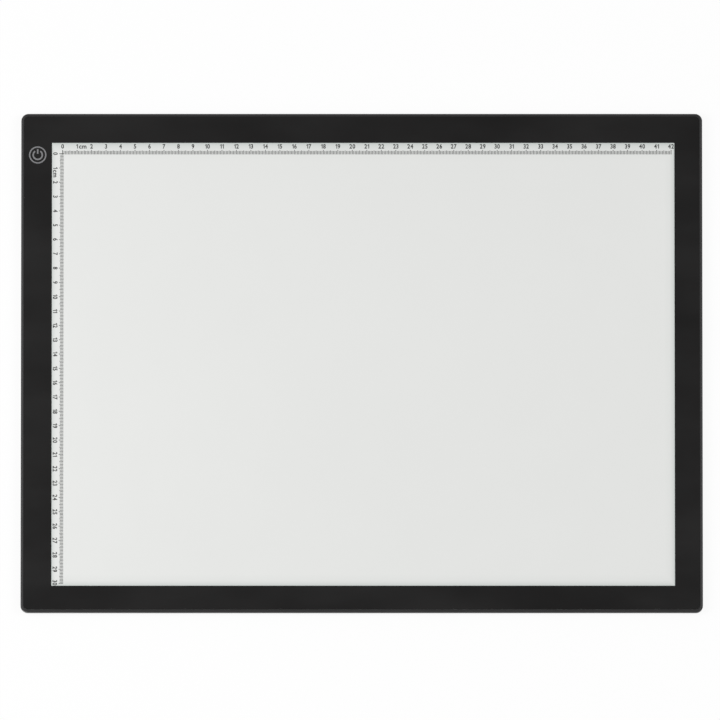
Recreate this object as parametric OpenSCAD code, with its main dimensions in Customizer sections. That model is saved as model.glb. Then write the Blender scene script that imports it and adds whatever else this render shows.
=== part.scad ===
// Tracing light pad: a thin edge-lit drawing board with a moulded frame, a screwed back cover,
// an opal drawing panel and a side pocket that holds the touch and power electronics.
// Millimetres. +X right, +Y to the rear, +Z up. The origin is under the middle, at the feet.

/* [Overall] */
// Width of the pad, left to right
pad_w = 470; // [380:1:640]
// Depth of the pad, front to rear
pad_d = 348; // [270:1:480]
// Radius of the outer corners seen from above
corner_r = 5; // [4:0.5:12]

/* [Borders around the drawing window] */
// Black border left of the window
border_left = 21.25; // [17:0.25:40]
// Black border right of the window
border_right = 19.25; // [16:0.25:40]
// Black border behind the window
border_rear = 20.5; // [16:0.25:40]
// Black border in front of the window
border_front = 18.5; // [14.5:0.25:40]

/* [Layers, from the back up] */
// Thickness of the back cover
cover_t = 1.2; // [1:0.1:2]
// Bevel around the bottom of the back cover
cover_bevel = 0.3; // [0.1:0.05:0.5]
// Thickness of the white reflector sheet
reflector_t = 0.2; // [0.1:0.05:0.4]
// Thickness of the light guide plate
guide_t = 1.8; // [1.5:0.1:4]
// Thickness of the diffuser sheet
diffuser_t = 0.3; // [0.2:0.05:0.6]
// Thickness of the drawing panel inside the window
panel_t = 1.5; // [1:0.1:3]
// Depth of the black border inlay in the panel
mask_t = 0.1; // [0.05:0.05:0.3]
// Thickness of the tape that holds the panel on the ledge
tape_t = 0.2; // [0.1:0.05:0.4]

/* [Moulded frame] */
// Width of the rim seen from above
rim_w = 2; // [1.6:0.1:3]
// Radius along the top outer edge of the rim
rim_top_r = 1.4; // [0.4:0.1:2]
// Radius along the bottom outer edge of the rim
rim_bottom_r = 0.9; // [0.3:0.1:1.5]
// Width of the ledge under the panel's edge
ledge_w = 5; // [4:0.25:7]
// Width of the lip that carries the panel's edge over the control board
lip_w = 1.2; // [0.8:0.1:2]
// Thickness of that lip
lip_t = 0.8; // [0.5:0.1:1.2]
// Thickness of the channel floor beside the ledge
floor_t = 0.8; // [0.5:0.1:1.2]
// Thickness of the ribs that back the light strips and locate the light guide
rib_t = 1.2; // [0.8:0.1:2]
// Thickness of the webs that cross the channels
web_t = 1; // [0.8:0.1:2]
// Height of the webs above the channel floor
web_h = 0.7; // [0.3:0.1:1]
// Spacing of the webs
web_pitch = 36; // [20:1:80]
// Radius of the smallest inner corners
inner_r = 0.8; // [0.4:0.1:2]

/* [Light strips] */
// Distance from a lit edge of the guide to the window
light_mix = 5; // [4:0.5:10]
// Distance from an unlit edge of the guide to the window
guide_margin = 4; // [2:0.5:8]
// Thickness of the strip boards
strip_t = 0.8; // [0.5:0.1:1.6]
// Length of one light-emitting diode
led_l = 3; // [2:0.1:4]
// Depth of one light-emitting diode
led_d = 0.8; // [0.5:0.1:1.2]
// Height of one light-emitting diode
led_h = 1.4; // [0.8:0.1:1.4]
// Spacing of the diodes along a strip
led_pitch = 10; // [6:0.5:20]
// Wall left around a diode's bright window
led_wall = 0.25; // [0.15:0.05:0.35]
// Depth of a diode's bright window
led_window_d = 0.4; // [0.2:0.05:0.5]
// Overlap of the shade tape on the guide
shade_lap = 2; // [1:0.25:3.5]
// Thickness of the shade tapes and the edge tapes
shade_t = 0.1; // [0.05:0.05:0.2]

/* [Control board and touch key] */
// Length of the control board
board_l = 62; // [54:1:80]
// Thickness of the control board
board_t = 0.8; // [0.6:0.1:1]
// Length of the leads between the board and the rear strip
rear_lead_l = 4; // [2:0.5:10]
// Distance from the touch key's centre to the window's left edge
key_left = 9.9; // [8:0.1:12]
// Distance from the touch key's centre to the window's rear edge
key_rear = 8.4; // [6:0.1:30]
// Diameter of the copper touch electrode
electrode_d = 9; // [6:0.5:10]
// Thickness of the copper touch electrode
electrode_t = 0.1; // [0.05:0.05:0.2]
// Diameter of the conductive foam post under the electrode
foam_d = 6; // [4:0.5:7]

/* [Power inlet] */
// Distance from the touch key to the inlet, along the left side
inlet_from_key = 33.1; // [28:0.1:40]
// Width of the inlet's shell
inlet_w = 7.5; // [7:0.1:8.5]
// Height of the inlet's shell
inlet_h = 2.45; // [2.2:0.05:2.8]
// Depth of the inlet's shell
inlet_d = 5.2; // [4.5:0.1:7]
// Sheet thickness of the inlet's shell
inlet_sheet = 0.25; // [0.15:0.05:0.4]
// Height at which the shell's sides start to slope in
inlet_knee = 1.1; // [0.8:0.1:1.4]
// Inward slope of the shell's sides at the bottom
inlet_slope = 0.9; // [0.4:0.1:1.4]
// Depth of the shell below the top of the control board
inlet_sink = 1.05; // [0.9:0.05:1.2]
// Distance from the outer wall in to the inlet's mouth
inlet_setback = 0.4; // [0:0.1:1]
// Width of the solder ears beside the shell
inlet_ear_w = 1.4; // [0.8:0.1:2]
// Length of the solder ears beside the shell
inlet_ear_l = 2; // [1:0.1:2.5]
// Thickness of the insulator behind the inlet's tongue
inlet_block_d = 1.3; // [0.8:0.1:2]
// Width of the inlet's tongue
tongue_w = 4; // [3.6:0.1:4.4]
// Thickness of the inlet's tongue
tongue_t = 0.6; // [0.4:0.1:0.8]
// Distance from the inlet's mouth in to the tongue
tongue_setback = 0.7; // [0.4:0.1:1.2]
// Distance from the shell's roof to the tongue
tongue_drop = 0.35; // [0.2:0.05:0.5]
// Width of one inlet contact
contact_w = 0.35; // [0.25:0.05:0.45]
// Spacing of the inlet contacts
contact_pitch = 0.65; // [0.6:0.05:0.75]
// Thickness of one inlet contact
contact_t = 0.15; // [0.1:0.05:0.2]
// Length of a contact's tail on the control board
contact_tail_l = 1.1; // [0.6:0.1:1.6]

/* [Chips on the control board] */
// Length of the touch chip's and the transistor's bodies
chip_l = 2.9; // [2.4:0.1:3.5]
// Width of the touch chip's and the transistor's bodies
chip_w = 1.6; // [1.3:0.1:2]
// Height of the touch chip's and the transistor's bodies
chip_h = 1; // [0.7:0.1:1.1]
// Spacing of the chips' pins
pin_pitch = 0.95; // [0.8:0.05:1.1]
// Width of a chip's pin
pin_w = 0.4; // [0.25:0.05:0.5]
// Reach of a chip's pin beside its body
pin_l = 0.6; // [0.4:0.1:0.8]
// Thickness of a chip's pin
pin_t = 0.15; // [0.1:0.05:0.2]
// Length of a resistor or capacitor
passive_l = 1.6; // [1:0.1:2]
// Width of a resistor or capacitor
passive_w = 0.8; // [0.5:0.1:1.25]
// Height of a resistor
resistor_h = 0.45; // [0.3:0.05:0.6]
// Height of a capacitor
capacitor_h = 0.8; // [0.5:0.1:1]
// Rows of resistors on the board
resistor_rows = 2; // [1:1:2]
// Rows of capacitors on the board, after the resistors
capacitor_rows = 2; // [1:1:2]
// Spacing of the rows of parts on the board
part_pitch = 2.2; // [1.6:0.1:2.6]
// Distance of the columns of parts from the board's middle line
part_column = 2.2; // [1.6:0.1:3]
// Distance from the touch key to the touch chip
touch_chip_from_key = 8; // [6:0.1:9]
// Distance from the inlet to the transistor
transistor_from_inlet = 9; // [7:0.1:10]

/* [Leads] */
// Diameter of an insulated lead
lead_d = 0.9; // [0.6:0.1:1.1]
// Spacing of the two leads
lead_pitch = 1.8; // [1.5:0.1:2.2]
// Distance from the left rib to the nearer lead
lead_from_rib = 2; // [1.4:0.1:3]
// Reach of the strip boards past the leads
strip_overhang = 1.6; // [1:0.1:3]
// Length of the leads' ends on the control board
lead_end_l = 2.5; // [1.5:0.1:4]
// Number of combs that hold the long leads
combs = 4; // [2:1:8]
// Length of a comb along the leads
comb_l = 2; // [1:0.5:4]

/* [Screws and feet] */
// Diameter of a cover screw's shank
screw_d = 1.9; // [1.4:0.1:2.2]
// Diameter of a cover screw's flat head
screw_head_d = 3.6; // [3:0.1:3.9]
// Height of a cover screw's flat head
screw_head_h = 0.8; // [0.5:0.05:0.95]
// Length of a cover screw inside the ledge
screw_bite = 1.5; // [1:0.1:1.7]
// Distance of the corner screws from the ends of the long sides
screw_end = 17; // [10:0.5:40]
// Screws along each long side
long_side_screws = 4; // [3:1:8]
// Width of the driver slots in a screw's head
slot_w = 0.45; // [0.3:0.05:0.6]
// Length of the driver slots in a screw's head
slot_l = 2; // [1.4:0.1:2.4]
// Depth of the driver slots in a screw's head
slot_d = 0.4; // [0.2:0.05:0.6]
// Diameter of a rubber foot
foot_d = 12; // [8:0.5:20]
// Height of the feet below the cover
foot_stand = 0.8; // [0.5:0.1:3]
// Depth of the feet's recesses in the cover
foot_recess = 0.4; // [0.2:0.05:0.6]
// Bevel around the bottom of a foot
foot_bevel = 0.4; // [0.2:0.05:0.5]
// Distance of the feet from the outer edges
foot_inset = 24; // [20:0.5:60]
// Feet along each long side
long_side_feet = 3; // [2:1:5]

/* [Clearances] */
// Gap between the panel and the rim
panel_gap = 0.15; // [0.05:0.05:0.4]
// Gap between the back cover and the rim
cover_gap = 0.15; // [0.05:0.05:0.4]
// Gap between the diodes and the guide
led_gap = 0.2; // [0.1:0.05:0.5]
// Gap between the guide's taped edges and the side ribs
guide_gap = 0.3; // [0.1:0.05:0.6]
// Gap between the diffuser and the shade tapes
diffuser_gap = 0.3; // [0.1:0.05:0.6]
// Gap around the control board
board_gap = 0.5; // [0.2:0.1:1]
// Gap between the inlet and the panel above it
inlet_top_gap = 0.2; // [0.1:0.05:0.4]
// Gap around the inlet in the wall, the board and the cover
inlet_gap = 0.15; // [0.1:0.05:0.3]
// Gap around a lead in its groove and combs
lead_gap = 0.1; // [0.05:0.05:0.2]
// Gap between a lead and the control board under it
lead_lift = 0.05; // [0.02:0.01:0.1]
// Gap around a screw in the cover
screw_gap = 0.1; // [0.05:0.05:0.2]
// Gap around a screw's shank in its pilot hole
pilot_gap = 0.05; // [0.02:0.01:0.1]
// Room past a screw's tip in its pilot hole
pilot_end = 0.2; // [0.1:0.05:0.3]
// Gap around a foot in its recess
foot_gap = 0.15; // [0.05:0.05:0.4]
// Gap at the ends of the light strips
strip_gap = 0.5; // [0.2:0.1:1]

/* [Hidden] */
$fn = 64;
LEFT = 0;
RIGHT = 1;
REAR = 2;
FRONT = 3;
// Small overreach of a cut past the face that it opens
past = 1;

// Heights of the layers
z_cover = foot_stand;
z_reflector = z_cover + cover_t;
z_guide = z_reflector + reflector_t;
z_diffuser = z_guide + guide_t;
z_panel = z_diffuser + diffuser_t;
z_top = z_panel + panel_t;
z_mask = z_top - mask_t;
z_ledge = z_panel - tape_t;
z_lip = z_ledge - lip_t;
z_floor = z_reflector + floor_t;
z_led = z_guide + (guide_t - led_h) / 2;

// Insets from the outer faces, in the order left, right, rear, front
window = [border_left, border_right, border_rear, border_front];
panel_edge = even(rim_w + panel_gap);
cover_edge = even(rim_w + cover_gap);
ledge_edge = even(rim_w + ledge_w);
wall_middle = even(rim_w / 2);
guide_edge = window - [guide_margin, guide_margin, light_mix, light_mix];
side_gap = shade_t + guide_gap;
lit_gap = led_gap + led_d + strip_t;
rib_face = guide_edge - [side_gap, side_gap, lit_gap, lit_gap];
rib_back = rib_face - even(rib_t);
lit_lap = shade_lap + diffuser_gap;
diffuser_edge = guide_edge + [0, 0, lit_lap, lit_lap];

// Leads and strip ends, measured from the left outer face
near_lead = rib_back[LEFT] - lead_from_rib;
far_lead = near_lead - lead_pitch;
strip_left = far_lead - strip_overhang;

// Control board, touch key and inlet
board_left = rim_w + board_gap;
board_w = rib_back[LEFT] - board_gap - board_left;
board_rear = strip_face(REAR) + rear_lead_l;
board_front = board_rear + board_l;
key_x = -pad_w / 2 + border_left - key_left;
key_y = pad_d / 2 - border_rear - key_rear;
inlet_y = key_y - inlet_from_key;
inlet_x = -pad_w / 2 + inlet_setback;
z_inlet = z_panel - inlet_top_gap - inlet_h;
z_board_top = z_inlet + inlet_sink;
z_board = z_board_top - board_t;
z_pocket = z_inlet - inlet_gap;
z_lead = z_board_top + lead_lift + lead_d / 2;
z_groove = z_lead - lead_d / 2 - lead_gap;
board_x = -pad_w / 2 + board_left;
board_y = pad_d / 2 - board_front;
part_x = board_x + board_w / 2;
touch_chip_y = key_y - touch_chip_from_key;
transistor_y = inlet_y + transistor_from_inlet;
z_tongue = z_inlet + inlet_h - inlet_sheet - tongue_drop - tongue_t;
// The standard inlet has five contacts
contact_count = 5;
led_count = floor((area_w(guide_edge) - led_l) / led_pitch);

// Screws and feet
screw_inset = rim_w + ledge_w / 2;
screw_spots = concat(
    [for (x = spread(pad_w / 2 - screw_end, long_side_screws), s = [-1, 1])
        [x, s * (pad_d / 2 - screw_inset)]],
    [for (s = [-1, 1]) [s * (pad_w / 2 - screw_inset), 0]]
);
foot_spots = [for (x = spread(pad_w / 2 - foot_inset, long_side_feet), s = [-1, 1])
    [x, s * (pad_d / 2 - foot_inset)]];

// The same inset on all four sides
function even(inset) = [inset, inset, inset, inset];
// Evenly spread places from one end of a side to the other
function spread(half, count) = [for (i = [0 : count - 1]) half * (2 * i / (count - 1) - 1)];
// Size and left front corner of the area that four insets leave
function area_w(inset) = pad_w - inset[LEFT] - inset[RIGHT];
function area_d(inset) = pad_d - inset[REAR] - inset[FRONT];
function area_x(inset) = -pad_w / 2 + inset[LEFT];
function area_y(inset) = -pad_d / 2 + inset[FRONT];
// Inset of a light strip's face, where its diodes are soldered
function strip_face(side) = guide_edge[side] - led_gap - led_d;
// Row of small parts on the control board, counted from the touch chip
function part_row_y(row) = touch_chip_y - chip_l / 2 - row * part_pitch;
// Corner radius of an outline that runs inside the outer corners
function inside_r(inset) = max(corner_r - inset[LEFT], inner_r);

// Rectangle with round corners, its lower left corner at the origin
module round_rect(w, d, r) {
    translate([r, 0]) square([w - 2 * r, d]);
    translate([0, r]) square([w, d - 2 * r]);
    for (x = [r, w - r], y = [r, d - r]) translate([x, y]) circle(r);
}

// Flat sheet with square corners, set in from the outer faces
module sheet(inset, z, t) {
    translate([area_x(inset), area_y(inset), z]) cube([area_w(inset), area_d(inset), t]);
}

// Flat plate with round corners, set in from the outer faces
module plate(inset, z, t) {
    translate([area_x(inset), area_y(inset), z])
        linear_extrude(t) round_rect(area_w(inset), area_d(inset), inside_r(inset));
}

// Box given by its insets from the left and rear faces: left side, right side, rear side, front side
module left_rear_box(left, right, rear, front, z, t) {
    translate([-pad_w / 2 + left, pad_d / 2 - front, z]) cube([right - left, front - rear, t]);
}

// Quarter of a disc, in the upper right quadrant or, turned over, in the lower right one
module quarter_disc(r, down) {
    intersection() {
        circle(r);
        translate([0, down ? -r : 0]) square(r);
    }
}

// Section of the rim wall, seen along a side, with its outer face at the corner radius
module rim_section() {
    inner = corner_r - rim_w;
    z_bottom_round = z_cover + rim_bottom_r;
    z_top_round = z_top - rim_top_r;
    translate([inner, z_cover]) square([rim_w - rim_bottom_r, rim_bottom_r]);
    translate([corner_r - rim_bottom_r, z_bottom_round]) quarter_disc(rim_bottom_r, true);
    translate([inner, z_bottom_round]) square([rim_w, z_top_round - z_bottom_round]);
    translate([inner, z_top_round]) square([rim_w - rim_top_r, rim_top_r]);
    translate([corner_r - rim_top_r, z_top_round]) quarter_disc(rim_top_r, false);
}

// Carries a section round the outline at an inset: four straight sides and four turned corners.
// The section is drawn with its outer face at the outline's corner radius.
module carried_round(inset) {
    r = inside_r(even(inset));
    half_w = pad_w / 2 - inset - r;
    half_d = pad_d / 2 - inset - r;
    for (s = [0, 180]) rotate(s) {
        translate([half_w, 0, 0]) rotate([90, 0, 0])
            linear_extrude(2 * half_d, center = true) children();
        rotate(90) translate([half_d, 0, 0]) rotate([90, 0, 0])
            linear_extrude(2 * half_w, center = true) children();
        translate([half_w, half_d, 0]) rotate_extrude(angle = 90) children();
        translate([-half_w, half_d, 0]) rotate(90) rotate_extrude(angle = 90) children();
    }
}

// Ledge that carries the panel, and the channel floor inside it
module ledge_and_floor() {
    difference() {
        plate(wall_middle, z_reflector, z_ledge - z_reflector);
        plate(ledge_edge, z_floor, z_top);
        sheet(rib_face, z_reflector - past, z_top);
    }
}

// Ribs behind the light strips and beside the light guide
module ribs() {
    h = z_diffuser - z_reflector;
    rib_end = rib_back[RIGHT];
    sheet([strip_left, rib_end, rib_back[REAR], pad_d - rib_face[REAR]], z_reflector, h);
    sheet([strip_left, rib_end, pad_d - rib_face[FRONT], rib_back[FRONT]], z_reflector, h);
    sheet([rib_back[LEFT], pad_w - rib_face[LEFT], rib_back[REAR], rib_back[FRONT]], z_reflector, h);
    sheet([pad_w - rib_face[RIGHT], rib_back[RIGHT], rib_back[REAR], rib_back[FRONT]], z_reflector, h);
}

// Webs that cross the rear, front and right channels
module webs() {
    reach = ledge_edge[LEFT] - ledge_w / 2;
    long_webs = floor((pad_w / 2 - border_left) / web_pitch);
    side_webs = floor((pad_d / 2 - border_rear) / web_pitch);
    for (i = [-long_webs : long_webs]) {
        middle = pad_w / 2 + i * web_pitch;
        across = [middle - web_t / 2, pad_w - middle - web_t / 2];
        sheet(concat(across, [reach, pad_d - rib_face[REAR] + rib_t / 2]), z_reflector, floor_t + web_h);
        sheet(concat(across, [pad_d - rib_face[FRONT] + rib_t / 2, reach]), z_reflector, floor_t + web_h);
    }
    for (i = [-side_webs : side_webs]) {
        middle = pad_d / 2 + i * web_pitch;
        along = [middle - web_t / 2, pad_d - middle - web_t / 2];
        sheet(concat([pad_w - rib_face[RIGHT] + rib_t / 2, reach], along), z_reflector, floor_t + web_h);
    }
}

// Combs across the left channel that hold the long leads
module lead_combs() {
    first = pad_d / 2 - board_front - board_gap;
    last = -pad_d / 2 + strip_face(FRONT);
    for (i = [1 : combs]) {
        y = first + (last - first) * i / (combs + 1);
        translate([-pad_w / 2 + strip_left, y - comb_l / 2, z_reflector])
            cube([rib_back[LEFT] - strip_left + rib_t / 2, comb_l, z_lead - z_reflector]);
    }
}

// Grooves for the long leads, from the board to the front strip
module lead_grooves() {
    for (lead = [near_lead, far_lead])
        left_rear_box(lead - lead_d / 2 - lead_gap, lead + lead_d / 2 + lead_gap,
            rib_face[REAR], pad_d - rib_face[FRONT], z_groove, z_top);
}

// Pockets in the left channel for the ends of the two strips
module strip_end_pockets() {
    left = strip_left - strip_gap;
    right = rib_face[LEFT] + past;
    left_rear_box(left, right, rib_face[REAR], strip_face(REAR) + strip_gap, z_reflector - past, z_top);
    left_rear_box(left, right, pad_d - strip_face(FRONT) - strip_gap, pad_d - rib_face[FRONT],
        z_reflector - past, z_top);
}

// Bay for the control board, between two heights
module board_bay(left, z, z_end) {
    left_rear_box(left, rib_back[LEFT], board_rear - board_gap, board_front + board_gap, z, z_end - z);
}

// Opening for the inlet in the left wall and the lip behind it, up to a given height
module inlet_opening(z_end) {
    z = z_inlet - inlet_gap;
    translate([-pad_w / 2 - past, inlet_y - inlet_w / 2 - inlet_gap, z])
        cube([rim_w + lip_w + 2 * past, inlet_w + 2 * inlet_gap, z_end - z]);
}

// Pilot holes for the cover screws
module pilot_holes() {
    for (spot = screw_spots) translate([spot[0], spot[1], z_reflector - past])
        cylinder(h = past + screw_bite + pilot_end, d = screw_d + 2 * pilot_gap);
}

// Moulded frame with its rim, ledge, channel floor, ribs, webs, combs and pilot holes
module outer_frame() {
    color("#2b2b2c") difference() {
        union() {
            carried_round(0) rim_section();
            ledge_and_floor();
            ribs();
            webs();
            lead_combs();
        }
        board_bay(rim_w, z_reflector - past, z_lip);
        board_bay(rim_w + lip_w, z_reflector - past, z_top);
        lead_grooves();
        strip_end_pockets();
        inlet_opening(z_inlet + inlet_h + inlet_gap);
        pilot_holes();
    }
}

// Section of the bevel around the bottom of the cover
module bevel_section() {
    face = inside_r(cover_edge);
    translate([face, z_cover + cover_bevel])
        polygon([[0, 0], [-cover_bevel, 0], [-cover_bevel, -cover_bevel]]);
}

// Back cover with a bevelled edge, countersunk holes, foot recesses and a pocket under the control board
module back_cover() {
    color("#303031") difference() {
        union() {
            plate(cover_edge, z_cover + cover_bevel, cover_t - cover_bevel);
            plate(cover_edge + even(cover_bevel), z_cover, cover_bevel);
            carried_round(rim_w + cover_gap) bevel_section();
        }
        for (spot = screw_spots) translate([spot[0], spot[1], z_cover]) countersink();
        for (spot = foot_spots) translate([spot[0], spot[1], z_cover - past])
            cylinder(h = past + foot_recess, d = foot_d + 2 * foot_gap);
        board_bay(cover_edge[LEFT] - past, z_pocket, z_top);
    }
}

// Countersunk hole through the cover
module countersink() {
    wide = screw_head_d + 2 * screw_gap;
    narrow = screw_d + 2 * screw_gap;
    translate([0, 0, -past]) cylinder(h = past, d = wide);
    cylinder(h = screw_head_h, d1 = wide, d2 = narrow);
    cylinder(h = cover_t + past, d = narrow);
}

// Flat-head screws that hold the cover to the frame's ledge
module cover_screws() {
    color("#4a4a4c") for (spot = screw_spots) translate([spot[0], spot[1], z_cover]) difference() {
        union() {
            cylinder(h = screw_head_h, d1 = screw_head_d, d2 = screw_d);
            cylinder(h = cover_t + screw_bite, d = screw_d);
        }
        for (turn = [0, 90]) rotate(turn) translate([-slot_l / 2, -slot_w / 2, -past])
            cube([slot_l, slot_w, past + slot_d]);
    }
}

// Rubber feet in the cover's recesses, bevelled around the bottom
module rubber_feet() {
    r = foot_d / 2;
    h = foot_stand + foot_recess;
    color("#1c1c1d") for (spot = foot_spots) translate(spot) rotate_extrude()
        polygon([[0, 0], [r - foot_bevel, 0], [r, foot_bevel], [r, h], [0, h]]);
}

// Opal drawing panel, rebated around the window for the black border
module front_panel() {
    color("#e4e5e3") {
        plate(panel_edge, z_panel, panel_t - mask_t);
        sheet(window, z_panel, panel_t);
    }
}

// Black border around the window, flush with the panel's face
module border_mask() {
    color("#262627") difference() {
        plate(panel_edge, z_mask, mask_t);
        sheet(window, z_mask - past, mask_t + 2 * past);
    }
}

// Tape ring between the ledge and the panel
module panel_tape() {
    color("#3a3a3a") difference() {
        plate(panel_edge, z_ledge, tape_t);
        plate(ledge_edge, z_ledge - past, tape_t + 2 * past);
        board_bay(rim_w + lip_w, z_ledge - past, z_top);
        inlet_opening(z_top);
    }
}

// Diffuser sheet between the shade tapes
module diffuser_sheet() {
    color("#f4f4f2") sheet(diffuser_edge, z_diffuser, diffuser_t);
}

// Clear light guide plate
module light_guide() {
    color("#dfe9ea") sheet(guide_edge, z_guide, guide_t);
}

// White reflector sheet under the light guide
module reflector_sheet() {
    color("#fafafa") sheet(guide_edge, z_reflector, reflector_t);
}

// White tape on the light guide's left, unlit edge
module left_edge_tape() {
    left = guide_edge[LEFT];
    color("#f2f2f2")
        sheet([left - shade_t, pad_w - left, guide_edge[REAR], guide_edge[FRONT]], z_guide, guide_t);
}

// White tape on the light guide's right, unlit edge
module right_edge_tape() {
    right = guide_edge[RIGHT];
    color("#f2f2f2")
        sheet([pad_w - right, right - shade_t, guide_edge[REAR], guide_edge[FRONT]], z_guide, guide_t);
}

// Turns what is drawn for the rear strip round to the given side
module on_side(side) {
    mirror([0, side == FRONT ? 1 : 0, 0]) children();
}

// Strip board that stands on the cover against its rib
module strip_board(side) {
    face = strip_face(side);
    on_side(side) translate([-pad_w / 2 + strip_left, pad_d / 2 - face, z_reflector])
        cube([pad_w - strip_left - guide_edge[RIGHT], strip_t, z_diffuser - z_reflector]);
}

// Places along a strip, one for each diode
module at_leds(side) {
    middle = area_x(guide_edge) + area_w(guide_edge) / 2;
    y = pad_d / 2 - strip_face(side) - led_d;
    for (i = [0 : led_count - 1])
        on_side(side) translate([middle + (i - (led_count - 1) / 2) * led_pitch, y, z_led]) children();
}

// Bright window of one diode, on the side that faces the guide
module led_window() {
    translate([-led_l / 2 + led_wall, 0, led_wall])
        cube([led_l - 2 * led_wall, led_window_d, led_h - 2 * led_wall]);
}

// Body of one diode around its bright window
module led_body() {
    difference() {
        translate([-led_l / 2, 0, 0]) cube([led_l, led_d, led_h]);
        led_window();
    }
}

// Shade tape from the rib over the diodes to the guide
module shade_tape(side) {
    lap = guide_edge[side] + shade_lap;
    on_side(side) translate([area_x(guide_edge), pad_d / 2 - lap, z_diffuser])
        cube([area_w(guide_edge), lap - rib_back[side], shade_t]);
}

// Board of the rear light strip
module rear_led_board() {
    color("#eef0ee") strip_board(REAR);
}

// White diode bodies of the rear strip
module rear_leds() {
    color("#f7f7f2") at_leds(REAR) led_body();
}

// Bright windows of the rear strip's diodes
module rear_led_windows() {
    color("#f0d95a") at_leds(REAR) led_window();
}

// Shade tape over the rear strip's diodes
module rear_shade_tape() {
    color("#202020") shade_tape(REAR);
}

// Board of the front light strip
module front_led_board() {
    color("#eef0ee") strip_board(FRONT);
}

// White diode bodies of the front strip
module front_leds() {
    color("#f7f7f2") at_leds(FRONT) led_body();
}

// Bright windows of the front strip's diodes
module front_led_windows() {
    color("#f0d95a") at_leds(FRONT) led_window();
}

// Shade tape over the front strip's diodes
module front_shade_tape() {
    color("#202020") shade_tape(FRONT);
}

// Control board, notched around the inlet
module control_board() {
    notch_w = inlet_w + 2 * inlet_gap;
    color("#1d6b3a") difference() {
        translate([board_x, board_y, z_board]) cube([board_w, board_l, board_t]);
        translate([board_x - past, inlet_y - notch_w / 2, z_board - past])
            cube([inlet_x + inlet_d + inlet_gap - board_x + past, notch_w, board_t + 2 * past]);
    }
}

// Foam tape that holds the control board in the cover's pocket
module board_tape() {
    color("#d9d4c4") translate([part_x, board_y + board_gap, z_pocket])
        cube([board_w / 2 - board_gap, board_l - 2 * board_gap, z_board - z_pocket]);
}

// One bent pin beside a chip's body, reaching towards +X
module chip_pin() {
    rise = chip_h / 2;
    rotate([90, 0, 0]) translate([0, 0, -pin_w / 2]) linear_extrude(pin_w)
        polygon([[0, pin_t], [0, rise + pin_t], [pin_t, rise + pin_t], [pin_t, pin_t],
            [pin_l, pin_t], [pin_l, 0], [0, 0]]);
}

// Chip that stands on its pins, with the pins' places along each side
module chip(y, right_pins, left_pins) {
    translate([part_x, y, z_board_top]) {
        translate([-chip_w / 2, -chip_l / 2, pin_t]) cube([chip_w, chip_l, chip_h]);
        for (place = right_pins) translate([chip_w / 2, place, 0]) chip_pin();
        for (place = left_pins) rotate(180) translate([chip_w / 2, place, 0]) chip_pin();
    }
}

// Touch chip with three pins on each side
module touch_chip() {
    places = [-pin_pitch, 0, pin_pitch];
    color("#1b1b1d") chip(touch_chip_y, places, places);
}

// Transistor with one pin on the right and two on the left
module dimmer_transistor() {
    color("#1b1b1d") chip(transistor_y, [0], [-pin_pitch, pin_pitch]);
}

// Two columns of small parts in rows that follow the rows already taken below the touch chip
module passives(taken, rows, h) {
    for (row = [1 : rows], s = [-1, 1])
        translate([part_x + s * part_column, part_row_y(taken + row), z_board_top])
            translate([-passive_l / 2, -passive_w / 2, 0]) cube([passive_l, passive_w, h]);
}

// Chip resistors below the touch chip
module chip_resistors() {
    color("#2a2a2e") passives(0, resistor_rows, resistor_h);
}

// Chip capacitors below the resistors
module chip_capacitors() {
    color("#b79a6a") passives(resistor_rows, capacitor_rows, capacitor_h);
}

// Conductive foam post from the control board up to the electrode
module touch_foam() {
    color("#4d4d50") translate([key_x, key_y, z_board_top])
        cylinder(h = z_panel - electrode_t - z_board_top, d = foam_d);
}

// Copper electrode under the panel, behind the touch key
module touch_electrode() {
    color("#c87f4a") translate([key_x, key_y, z_panel - electrode_t])
        cylinder(h = electrode_t, d = electrode_d);
}

// Outline of the inlet's shell, drawn in by a wall: flat roof, upright sides, sloping lower sides
function inlet_outline(wall) = let(
    wide = inlet_w / 2 - wall,
    narrow = inlet_w / 2 - inlet_slope - wall
) [[-wide, inlet_h - wall], [-wide, inlet_knee], [-narrow, wall],
    [narrow, wall], [wide, inlet_knee], [wide, inlet_h - wall]];

// Inlet outline pushed inwards from a given depth behind the mouth
module inlet_body(wall, start, depth) {
    translate([inlet_x + start, inlet_y, z_inlet]) rotate([90, 0, 90])
        linear_extrude(depth) polygon(inlet_outline(wall));
}

// Bent sheet shell of the inlet, with an ear on each side that lies on the control board
module inlet_shell() {
    ear_x = inlet_x + inlet_d - inlet_ear_l;
    ear_in = inlet_w / 2 - inlet_sheet / 2;
    color("#c9cacc") {
        difference() {
            inlet_body(0, 0, inlet_d);
            inlet_body(inlet_sheet, -past, inlet_d + 2 * past);
        }
        for (turn = [0, 1]) translate([ear_x, inlet_y, z_board_top]) mirror([0, turn, 0])
            translate([0, ear_in, 0]) cube([inlet_ear_l, inlet_ear_w + inlet_sheet / 2, inlet_sheet]);
    }
}

// Insulator that closes the back of the inlet, and its tongue, moulded round the contacts
module inlet_tongue() {
    color("#151515") difference() {
        union() {
            inlet_body(inlet_sheet, inlet_d - inlet_block_d, inlet_block_d);
            translate([inlet_x + tongue_setback, inlet_y - tongue_w / 2, z_tongue])
                cube([inlet_d - tongue_setback - inlet_block_d / 2, tongue_w, tongue_t]);
        }
        at_contacts() contact();
    }
}

// Places across the inlet, one for each contact
module at_contacts() {
    first = inlet_y - contact_pitch * (contact_count - 1) / 2;
    for (i = [0 : contact_count - 1])
        translate([inlet_x, first + i * contact_pitch - contact_w / 2, 0]) children();
}

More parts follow.
